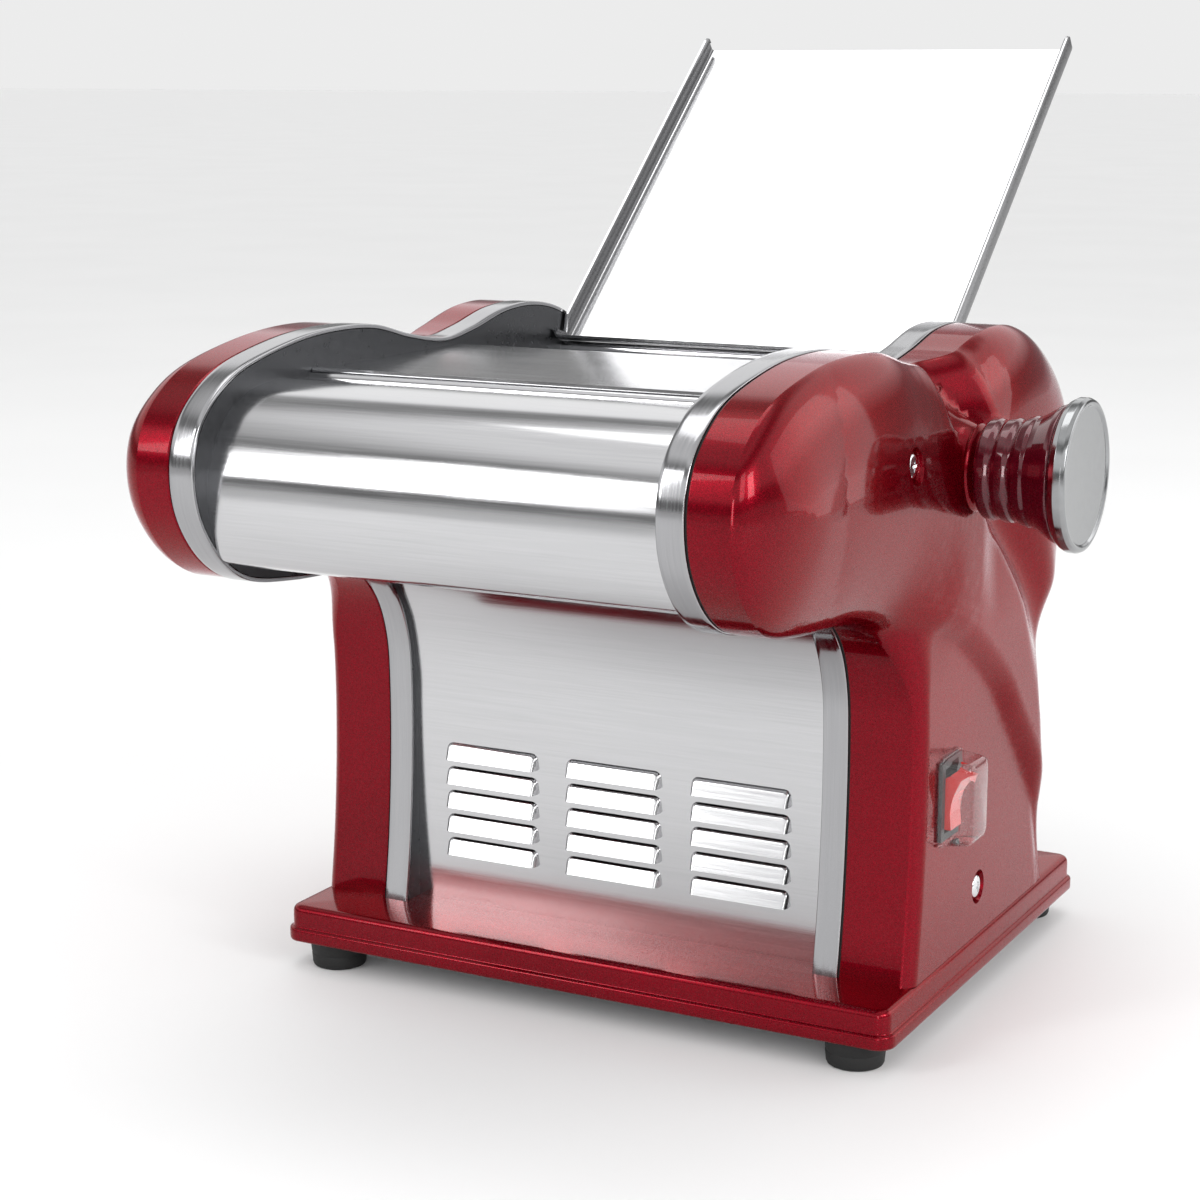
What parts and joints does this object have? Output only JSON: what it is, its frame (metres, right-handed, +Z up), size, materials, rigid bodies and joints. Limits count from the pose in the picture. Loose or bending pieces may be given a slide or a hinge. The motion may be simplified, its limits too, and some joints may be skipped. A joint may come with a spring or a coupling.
{
  "type": "electric pasta roller machine",
  "caption": "Countertop electric pasta and noodle machine with press rollers, a noodle cutter head, a sheet gap knob and a lift-off dough tray.",
  "frame": {"origin": "under the middle of the overall box, on the surface that the feet stand on", "axes": "+X towards the gap knob, +Y towards the dough tray at the back, +Z up"},
  "size_m": [0.338, 0.4538, 0.4103],
  "materials": {
    "cover_paint": "moulded ABS in candy wine red with a high gloss clear coat",
    "red_paint": "candy wine red metallic, high gloss clear coat",
    "dark_red_plastic": "translucent dark red, glossy",
    "polished_steel": "polished stainless, very fine brushing",
    "dark_plate": "dark grey satin coated steel",
    "grey_steel": "satin grey",
    "machined_steel": "turned, fine circumferential marks",
    "motor_paint": "semi-matt dark grey",
    "black_rubber": "matt",
    "nylon": "natural nylon, satin",
    "capacitor_case": "white, satin",
    "bronze": "sintered bronze",
    "chrome_disc": "satin chrome face, bright rim",
    "black_plastic": "fine texture",
    "red_rocker": "translucent red",
    "clear_cover": "clear soft vinyl",
    "cast_alloy": "die cast, satin"
  },
  "bodies": {
    "frame": {"base_plinth": "red_paint", "base_plate": "grey_steel", "feet": "black_rubber", "foot_screws": "machined_steel", "left_side_plate": "dark_plate", "right_side_plate": "dark_plate", "tie_rods": "machined_steel", "frame_brackets": "grey_steel", "left_trim_band": "polished_steel", "right_trim_band": "polished_steel", "left_seal": "black_rubber", "right_seal": "black_rubber", "left_cover": "cover_paint", "right_cover": "cover_paint", "cover_posts": "machined_steel", "cover_screws": "machined_steel", "front_panel": "polished_steel", "rear_panel": "polished_steel", "cutter_housing": "polished_steel", "roller_housing": "polished_steel", "top_plate": "polished_steel", "sheet_chute": "polished_steel", "motor_body": "motor_paint", "motor_gearbox": "cast_alloy", "motor_bracket": "grey_steel", "motor_capacitor": "capacitor_case", "gear_axles": "machined_steel", "roller_bushes": "bronze", "roller_scrapers": "machined_steel", "cutter_bushes": "bronze", "cutter_combs": "machined_steel", "cam_bushes": "bronze", "knob_collar": "red_paint", "switch_body": "black_plastic", "switch_cover": "clear_cover", "cord_gland": "black_plastic"},
    "rear_roller": {"rear_roller": "machined_steel", "rear_roller_drive_gear": "machined_steel", "rear_roller_sync_gear": "machined_steel"},
    "gap_slide": {"bearing_blocks": "bronze"},
    "front_roller": {"front_roller": "machined_steel", "front_roller_sync_gear": "machined_steel"},
    "cutter_rear": {"cutter_rear": "machined_steel", "cutter_gear_rear": "machined_steel"},
    "cutter_front": {"cutter_front": "machined_steel", "cutter_gear_front": "machined_steel"},
    "reduction_gear": {"reduction_gear": "nylon"},
    "idler_gear_1": {"idler_gear_1": "nylon"},
    "idler_gear_2": {"idler_gear_2": "nylon"},
    "motor_rotor": {"motor_shaft": "machined_steel", "motor_pinion": "machined_steel"},
    "gap_knob": {"cam_shaft": "machined_steel", "gap_cams": "machined_steel", "knob_hub": "dark_red_plastic", "knob_disc": "chrome_disc"},
    "switch_rocker": {"switch_rocker": "red_rocker"},
    "feed_tray": {"feed_tray": "polished_steel"}
  },
  "joints": [
    {"name": "rear_roller_spin", "type": "hinge", "parent": "frame", "child": "rear_roller", "pos_m": [-0.024, 0.0486, 0.236], "axis": [1, 0, 0], "continuous": true},
    {"name": "reduction_gear_spin", "type": "hinge", "parent": "frame", "child": "reduction_gear", "pos_m": [-0.024, 0.0191, 0.1792], "axis": [1, 0, 0], "continuous": true},
    {"name": "motor_spin", "type": "hinge", "parent": "frame", "child": "motor_rotor", "pos_m": [-0.024, 0.0191, 0.1272], "axis": [1, 0, 0], "continuous": true},
    {"name": "idler_gear_1_spin", "type": "hinge", "parent": "frame", "child": "idler_gear_1", "pos_m": [-0.024, -0.0546, 0.2174], "axis": [1, 0, 0], "continuous": true},
    {"name": "idler_gear_2_spin", "type": "hinge", "parent": "frame", "child": "idler_gear_2", "pos_m": [-0.024, -0.1261, 0.232], "axis": [1, 0, 0], "continuous": true},
    {"name": "cutter_rear_spin", "type": "hinge", "parent": "frame", "child": "cutter_rear", "pos_m": [-0.024, -0.1683, 0.2401], "axis": [1, 0, 0], "continuous": true},
    {"name": "cutter_front_spin", "type": "hinge", "parent": "frame", "child": "cutter_front", "pos_m": [-0.024, -0.1943, 0.2401], "axis": [1, 0, 0], "continuous": true},
    {"name": "gap_knob_turn", "type": "hinge", "parent": "frame", "child": "gap_knob", "pos_m": [-0.024, -0.0359, 0.236], "axis": [1, 0, 0], "range_deg": [-171, 99]},
    {"name": "gap_slide", "type": "slide", "parent": "frame", "child": "gap_slide", "axis": [0, 1, 0], "range_m": [-0.00192, 0.00112]},
    {"name": "front_roller_spin", "type": "hinge", "parent": "gap_slide", "child": "front_roller", "pos_m": [-0.024, 0.0011, 0.236], "axis": [1, 0, 0], "continuous": true},
    {"name": "switch_rocker_tilt", "type": "hinge", "parent": "frame", "child": "switch_rocker", "pos_m": [0.1165, -0.0439, 0.1], "axis": [0, 1, 0], "range_deg": [0, 20]},
    {"name": "feed_tray_lift", "type": "slide", "parent": "frame", "child": "feed_tray", "axis": [0, 0.7591, 0.651], "range_m": [0, 0.06]}
  ],
  "couplings": [
    {"joint": "front_roller_spin", "follows": "rear_roller_spin", "ratio": -1},
    {"joint": "reduction_gear_spin", "follows": "rear_roller_spin", "ratio": -0.6},
    {"joint": "motor_spin", "follows": "rear_roller_spin", "ratio": 2},
    {"joint": "idler_gear_1_spin", "follows": "rear_roller_spin", "ratio": 0.55814},
    {"joint": "idler_gear_2_spin", "follows": "rear_roller_spin", "ratio": -0.8},
    {"joint": "cutter_rear_spin", "follows": "rear_roller_spin", "ratio": 1.8462},
    {"joint": "cutter_front_spin", "follows": "rear_roller_spin", "ratio": -1.8462},
    {"joint": "gap_slide", "follows": "gap_knob_turn", "m_per_rad": 0.00063662}
  ]
}
